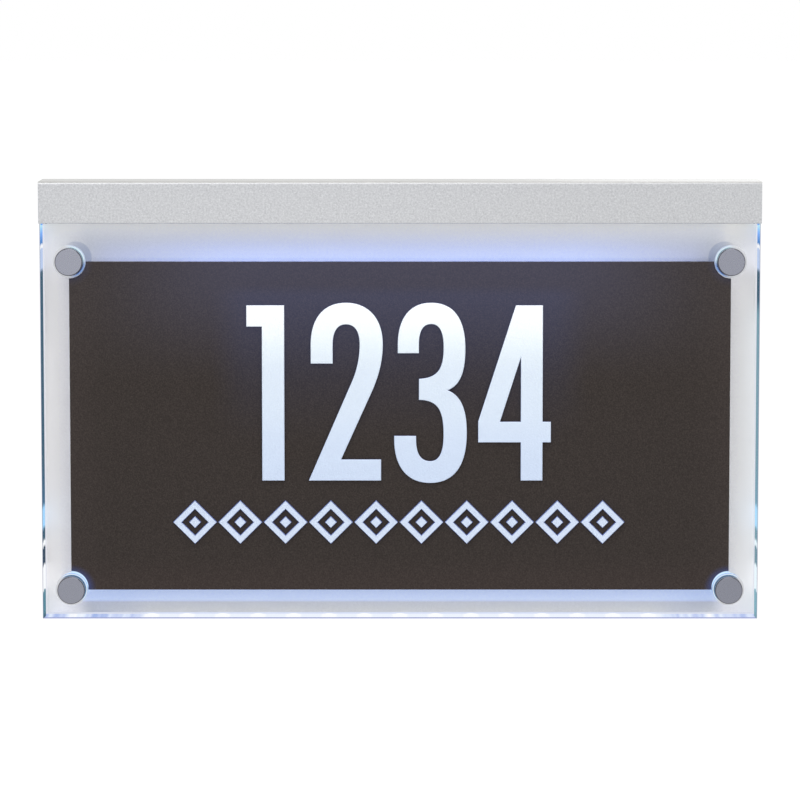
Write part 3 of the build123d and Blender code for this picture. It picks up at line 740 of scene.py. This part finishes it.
# outlines in millimetres: two numbers are a corner, and six are a curve to a point
one = [[(0, 101.6), (21.8, 101.6), (21.8, 0), (8.9, 0), (8.9, 89.3), (0, 89.3)]]
two = [[
    (0, 0), (41.8, 0), (41.8, 12.3), (18.7, 12.3), (36.2, 51.0),
    (39.9, 59.2, 42.8, 68.4, 42.8, 79.0), (42.8, 94.2, 34.4, 103.1, 21.5, 103.1),
    (8.6, 103.1, 1.2, 94.0, 1.2, 79.0), (1.2, 67.9), (13.9, 67.9), (13.9, 78.6),
    (13.9, 86.2, 16.4, 90.6, 21.6, 90.6), (26.8, 90.6, 29.4, 86.4, 29.4, 79.0),
    (29.4, 71.2, 27.7, 63.6, 24.7, 56.9),
]]
three = [[
    (0, 26.0), (0, 24.0), (0, 7.6, 7.8, -1.4, 20.8, -1.4), (33.9, -1.4, 42.0, 7.6, 42.0, 27.6),
    (42.0, 41.5, 38.6, 49.4, 30.9, 52.5), (38.2, 55.3, 41.1, 63.0, 41.1, 76.6),
    (41.1, 94.3, 34.0, 103.1, 21.4, 103.1), (8.9, 103.1, 2.1, 94.0, 2.1, 79.0),
    (2.1, 73.9), (14.3, 73.9), (14.3, 79.0), (14.3, 86.7, 16.6, 90.8, 21.4, 90.8),
    (26.2, 90.8, 28.5, 86.2, 28.5, 77.4), (28.5, 65.2, 25.6, 59.6, 14.3, 59.1),
    (14.3, 46.9), (25.4, 46.7, 28.5, 40.8, 28.5, 26.8), (28.5, 16.2, 26.0, 11.3, 20.8, 11.3),
    (15.4, 11.3, 12.7, 15.6, 12.7, 24.0), (12.7, 26.0),
]]
four = [
    [
        (0, 34.4), (21.6, 101.6), (37.2, 101.6), (37.2, 34.2), (42.0, 34.2), (42.0, 22.2),
        (37.2, 22.2), (37.2, 0), (24.6, 0), (24.6, 22.2), (0, 22.2),
    ],
    [(12.6, 34.2), (24.6, 34.2), (24.6, 71.6)],
]


def outlineSpline(curve, outline, shiftX):
    # straight sides and curves as one closed Bezier line
    ends = [(step[-2], step[-1]) for step in outline]
    spline = curve.splines.new("BEZIER")
    spline.bezier_points.add(len(outline) - 1)
    spline.use_cyclic_u = True
    spline.resolution_u = figures["curveSteps"]
    count = len(outline)
    for k, point in enumerate(spline.bezier_points):
        before, after = ends[k - 1], ends[(k + 1) % count]
        here, step, following = ends[k], outline[k], outline[(k + 1) % count]
        point.handle_left_type = point.handle_right_type = "FREE"
        left = step[2:4] if len(step) == 6 else [h + (b - h) / 3 for h, b in zip(here, before)]
        right = following[0:2] if len(following) == 6 else [h + (a - h) / 3 for h, a in zip(here, after)]
        for name, (x, z) in (("co", here), ("handle_left", left), ("handle_right", right)):
            setattr(point, name, ((shiftX + x) * mm, z * mm, 0.0))


def finishMesh(name, mesh, material):
    # merges doubles, turns the faces outwards and hands the piece to the sign's body
    work = bmesh.new()
    work.from_mesh(mesh)
    bmesh.ops.remove_doubles(work, verts=work.verts, dist=1e-7)
    bmesh.ops.recalc_face_normals(work, faces=work.faces)
    work.to_mesh(mesh)
    work.free()
    mesh.name = name
    mesh.materials.clear()
    mesh.materials.append(material)
    for face in mesh.polygons:
        face.material_index = 0
        face.use_smooth = False
    piece = bpy.data.objects.new(name, mesh)
    bpy.context.scene.collection.objects.link(piece)
    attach(piece, "sign")
    return piece


def raiseFigures():
    widths, gaps = figures["widths"], figures["gaps"]
    thickness = figures["relief"] + figures["sunk"]
    curve = bpy.data.curves.new("raisedFigures", "CURVE")
    curve.dimensions = "2D"
    curve.fill_mode = "BOTH"
    curve.extrude = thickness / 2 - figures["edge"]
    curve.bevel_depth = figures["edge"]
    curve.bevel_resolution = figures["bevelSteps"]
    curve.offset = -figures["edge"]
    start = figures["middle"] / mm - (sum(widths) + sum(gaps)) / 2
    for figure, width, gap in zip((one, two, three, four), widths, gaps):
        for outline in figure:
            outlineSpline(curve, outline, start)
        start += width + gap
    shape = bpy.data.objects.new("figureCurve", curve)
    bpy.context.scene.collection.objects.link(shape)
    seen = bpy.context.evaluated_depsgraph_get()
    mesh = bpy.data.meshes.new_from_object(shape.evaluated_get(seen), depsgraph=seen)
    bpy.data.objects.remove(shape)
    # curve X stays X, curve Y becomes Z, curve Z faces the street
    middleY = plateLow.y + figures["sunk"] - thickness / 2
    mesh.transform(Matrix(((1, 0, 0, 0), (0, 0, -1, middleY), (0, 1, 0, figures["baseline"]), (0, 0, 0, 1))))
    return finishMesh("raised_figures", mesh, figureWhite)


raisedFigures = raiseFigures()
print("raised figures made,", len(raisedFigures.data.polygons), "faces")


# what repeats is made by Geometry Nodes

def newTree(name, inputs):
    tree = bpy.data.node_groups.new(name, "GeometryNodeTree")
    tree.interface.new_socket("Geometry", in_out="INPUT", socket_type="NodeSocketGeometry")
    for label in inputs:
        kind = {"Turn": "Vector", "Material": "Material"}.get(label, "Float")
        tree.interface.new_socket(label, in_out="INPUT", socket_type="NodeSocket" + kind)
    tree.interface.new_socket("Geometry", in_out="OUTPUT", socket_type="NodeSocketGeometry")
    return tree, tree.nodes.new("NodeGroupInput").outputs


def setOnPoints(tree, given, piece):
    # one copy of the piece on every point, as the tree's result
    spread = addNode(tree, "GeometryNodeInstanceOnPoints")
    feed(tree, spread.inputs["Points"], given["Geometry"])
    feed(tree, spread.inputs["Instance"], piece)
    real = addNode(tree, "GeometryNodeRealizeInstances")
    feed(tree, real.inputs[0], spread.outputs[0])
    painted = addNode(tree, "GeometryNodeSetMaterial")
    feed(tree, painted.inputs["Geometry"], real.outputs[0])
    feed(tree, painted.inputs["Material"], given["Material"])
    feed(tree, tree.nodes.new("NodeGroupOutput").inputs[0], painted.outputs[0])


def combine(tree, x=0.0, y=0.0, z=0.0):
    node = addNode(tree, "ShaderNodeCombineXYZ")
    for socket, value in zip(node.inputs, (x, y, z)):
        feed(tree, socket, value)
    return node.outputs[0]


def moved(tree, geometry, move=None, turn=None):
    node = addNode(tree, "GeometryNodeTransform")
    feed(tree, node.inputs["Geometry"], geometry)
    if move is not None:
        feed(tree, node.inputs["Translation"], move)
    if turn is not None:
        feed(tree, node.inputs["Rotation"], turn)
    return node.outputs[0]


def together(tree, *parts):
    node = addNode(tree, "GeometryNodeJoinGeometry")
    for part in parts:
        feed(tree, node.inputs[0], part)
    return node.outputs[0]


def shapeNode(tree, kind, result=0, settings=None, **inputs):
    # a geometry node with its inputs by name, where _ stands for a space
    node = addNode(tree, "GeometryNode" + kind, **(settings or {}))
    for name, value in inputs.items():
        feed(tree, node.inputs[name.replace("_", " ")], value)
    return node.outputs[result]


def circle(tree, radius, steps):
    settings = {"mode": "RADIUS"}
    return shapeNode(tree, "CurvePrimitiveCircle", "Curve", settings, Resolution=steps, Radius=radius)


def swept(tree, curve, profile, caps=False):
    return shapeNode(tree, "CurveToMesh", "Mesh", Curve=curve, Profile_Curve=profile, Fill_Caps=caps)


def growMesh(name, tree, points, values):
    # the tree works on a mesh of bare points, and its result becomes a plain mesh
    mesh = bpy.data.meshes.new(name + "Points")
    mesh.from_pydata([tuple(p) for p in points], [], [])
    host = bpy.data.objects.new(name + "Host", mesh)
    bpy.context.scene.collection.objects.link(host)
    modifier = host.modifiers.new("make", "NODES")
    modifier.node_group = tree
    for item in tree.interface.items_tree:
        if item.in_out == "INPUT" and item.name in values:
            modifier[item.identifier] = values[item.name]
    seen = bpy.context.evaluated_depsgraph_get()
    result = bpy.data.meshes.new_from_object(host.evaluated_get(seen), depsgraph=seen)
    host.modifiers.remove(modifier)
    bpy.data.objects.remove(host)
    return result


# a chain of raised lozenges under the number, each with a small stud
ornament = {
    "count": 10, "pitch": 26.2 * mm, "middle": -138.9 * mm,
    "Lozenge": 25.8 * mm, "Bar": 3.9 * mm, "Stud": 7.4 * mm, "Edge": 0.5 * mm,
    "Height": figures["relief"] + figures["sunk"], "Material": figureWhite,
}


def lozengeTree():
    tree, given = newTree("lozengeChain", ("Lozenge", "Bar", "Stud", "Height", "Edge", "Material"))
    root = math.sqrt(2.0)
    # the ring's line runs in the middle of its bar, so its corners lie inside the lozenge's
    outer, inset = product(tree, given["Lozenge"], 0.5), product(tree, given["Bar"], root / 2)
    # a bar with sloping sides, and a stud of the same slope in the middle
    wide = product(tree, given["Bar"], root)
    slope = product(tree, given["Edge"], root)
    section = shapeNode(
        tree, "CurvePrimitiveQuadrilateral", "Curve", {"mode": "TRAPEZOID"}, Height=given["Height"],
        Bottom_Width=calc(tree, "SUBTRACT", wide, product(tree, slope, 2.0)), Top_Width=wide, Offset=0.0,
    )
    bar = swept(tree, circle(tree, calc(tree, "SUBTRACT", outer, inset), 4), section)
    size = product(tree, given["Stud"], 0.5)
    stud = shapeNode(
        tree, "MeshCone", "Mesh", Vertices=4, Radius_Bottom=size,
        Radius_Top=calc(tree, "SUBTRACT", size, slope), Depth=given["Height"],
    )
    raised = moved(tree, bar, combine(tree, z=product(tree, given["Height"], 0.5)))
    setOnPoints(tree, given, moved(tree, together(tree, raised, stud), turn=(math.radians(90), 0.0, 0.0)))
    return tree


def makeChain():
    middleX, depth = figures["middle"], plateLow.y + figures["sunk"]
    steps = [k - (ornament["count"] - 1) / 2 for k in range(ornament["count"])]
    places = [(step * ornament["pitch"] + middleX, depth, ornament["middle"]) for step in steps]
    mesh = growMesh("lozengeChain", lozengeTree(), places, ornament)
    return finishMesh("lozenge_chain", mesh, figureWhite)


lozengeChain = makeChain()
print("lozenge chain made,", len(lozengeChain.data.polygons), "faces")


# screws and threads

def looseParts(name):
    # the boxes of the separate solids in one node, for the places of what replaces them
    work = bmesh.new()
    work.from_mesh(nodes[name].data)
    bmesh.ops.remove_doubles(work, verts=work.verts, dist=1e-6)
    left, boxes = set(work.verts), []
    while left:
        edge, part = [left.pop()], []
        while edge:
            vert = edge.pop()
            part.append(vert.co.copy())
            for link in vert.link_edges:
                other = link.other_vert(vert)
                if other in left:
                    left.discard(other)
                    edge.append(other)
        boxes.append([[f(p[k] for p in part) for k in range(3)] for f in (min, max)])
    work.free()
    return sorted(boxes)


def middleOf(box, axis):
    return (box[0][axis] + box[1][axis]) / 2


def threadOn(tree, radius, length, pitch, lift):
    # a screw thread from z = lift downwards, as a ridge wound round a core
    ridge = product(tree, pitch, 0.42, 0.5)
    middle = calc(tree, "SUBTRACT", radius, ridge)
    spiral = shapeNode(
        tree, "CurveSpiral", "Curve", Resolution=20, Rotations=calc(tree, "DIVIDE", length, pitch),
        Start_Radius=middle, End_Radius=middle, Height=length,
    )
    wound = swept(tree, spiral, circle(tree, ridge, 4), caps=True)
    return moved(tree, wound, combine(tree, z=calc(tree, "SUBTRACT", lift, length)))


def crossRecess(tree, head):
    # two crossing bars that cut the driver's recess into the top of a head
    bars = []
    for turn in (0.0, math.pi / 2):
        size = combine(tree, *(product(tree, head, share) for share in (1.25, 0.26, 0.9)))
        bars.append(moved(tree, shapeNode(tree, "MeshCube", "Mesh", Size=size), turn=(0.0, 0.0, turn)))
    return together(tree, *bars)


def panHead(tree, head, down):
    # an outline turned round a ring: a section's X runs outwards from the rim and its Y runs down
    ring = circle(tree, head, 28)
    inside = product(tree, head, -1.0)
    dome = shapeNode(
        tree, "CurvePrimitiveBezierSegment", Resolution=8, Start=combine(tree),
        Start_Handle=combine(tree, y=product(tree, down, 0.8)),
        End_Handle=combine(tree, product(tree, inside, 0.45), down), End=combine(tree, inside, down),
    )
    base = shapeNode(tree, "CurvePrimitiveLine", Start=combine(tree, inside), End=combine(tree))
    skin = together(tree, swept(tree, ring, dome), swept(tree, ring, base))
    return shapeNode(tree, "MergeByDistance", Geometry=skin, Distance=0.01 * mm)


def screwTree(name, domed):
    # built upright with the top of its head at z = 0, then turned and set on every point
    tree, given = newTree(name, ("Head", "Head Height", "Shank", "Length", "Pitch", "Turn", "Material"))
    head, height, shank, pitch = given["Head"], given["Head Height"], given["Shank"], given["Pitch"]
    down = product(tree, height, -1.0)
    if domed:
        solid = panHead(tree, head, down)
    else:
        solid = shapeNode(
            tree, "MeshCone", "Mesh", Vertices=28, Radius_Top=head, Radius_Bottom=shank, Depth=height,
        )
    cut = addNode(tree, "GeometryNodeMeshBoolean", operation="DIFFERENCE", solver="EXACT")
    feed(tree, cut.inputs["Mesh 1"], moved(tree, solid, combine(tree, z=down)))
    feed(tree, cut.inputs["Mesh 2"], crossRecess(tree, head))
    cut.inputs["Self Intersection"].default_value = True
    # a thinner core below the head, with the thread wound round it
    coreLength = calc(tree, "SUBTRACT", given["Length"], height)
    coreRadius = calc(tree, "SUBTRACT", shank, product(tree, pitch, 0.3))
    core = shapeNode(tree, "MeshCylinder", "Mesh", Vertices=20, Radius=coreRadius, Depth=coreLength)
    middle = calc(tree, "SUBTRACT", down, product(tree, coreLength, 0.5))
    threadTop = calc(tree, "SUBTRACT", down, product(tree, pitch, 0.5))
    thread = threadOn(tree, shank, calc(tree, "SUBTRACT", coreLength, pitch), pitch, threadTop)
    whole = together(tree, cut.outputs[0], moved(tree, core, combine(tree, z=middle)), thread)
    setOnPoints(tree, given, moved(tree, whole, turn=given["Turn"]))
    return tree


def joinMeshes(name, several):
    work = bmesh.new()
    for mesh in several:
        work.from_mesh(mesh)
    joined = bpy.data.meshes.new(name)
    work.to_mesh(joined)
    work.free()
    return joined


def makeClampScrews():
    # pan heads on the rail's web, looking at the wall
    boxes = looseParts("panel_clamp_screws")
    screw = {
        "Head": 2.8 * mm, "Head Height": 1.7 * mm, "Shank": 1.5 * mm, "Pitch": 0.9 * mm,
        "Length": boxes[0][1][1] - boxes[0][0][1], "Turn": (-math.pi / 2, 0.0, 0.0), "Material": brightSteel,
    }
    places = [(middleOf(box, 0), box[1][1], middleOf(box, 2)) for box in boxes]
    mesh = growMesh("clampScrews", screwTree("panScrew", True), places, screw)
    made = finishMesh("cross_clamp_screws", mesh, brightSteel)
    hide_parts("panel_clamp_screws")


def makeEndScrews():
    # countersunk heads in the two end plates, looking outwards
    boxes = looseParts("end_plate_screws")
    screw = {
        "Head": 2.6 * mm, "Head Height": 1.4 * mm, "Shank": 1.2 * mm, "Pitch": 0.8 * mm,
        "Length": boxes[0][1][0] - boxes[0][0][0], "Material": brightSteel,
    }
    tree, halves = screwTree("sunkScrew", False), []
    for side in (-1, 1):
        mine = [box for box in boxes if box[0][0] * side > 0]
        places = [(box[max(side, 0)][0], middleOf(box, 1), middleOf(box, 2)) for box in mine]
        screw["Turn"] = (0.0, side * math.pi / 2, 0.0)
        halves.append(growMesh("endScrews", tree, places, screw))
    made = finishMesh("cross_end_screws", joinMeshes("endScrews", halves), brightSteel)
    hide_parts("end_plate_screws")


def makeStudThreads():
    # the ridge of a thread on the tail of each stud, past its nut
    tail = {"Radius": 2.1 * mm, "Length": 4.2 * mm, "Pitch": 0.7 * mm, "Material": brightSteel}
    tip = 0.5 * mm
    tree, given = newTree("studThread", ("Radius", "Length", "Pitch", "Material"))
    wound = threadOn(tree, given["Radius"], given["Length"], given["Pitch"], 0.0)
    setOnPoints(tree, given, moved(tree, wound, turn=(-math.pi / 2, 0.0, 0.0)))
    places = [(middleOf(box, 0), box[1][1] - tip, middleOf(box, 2)) for box in looseParts("plate_studs")]
    mesh = growMesh("studThreads", tree, places, tail)
    finishMesh("stud_threads", mesh, brightSteel)


makeClampScrews()
makeEndScrews()
makeStudThreads()
print("screws and threads made")
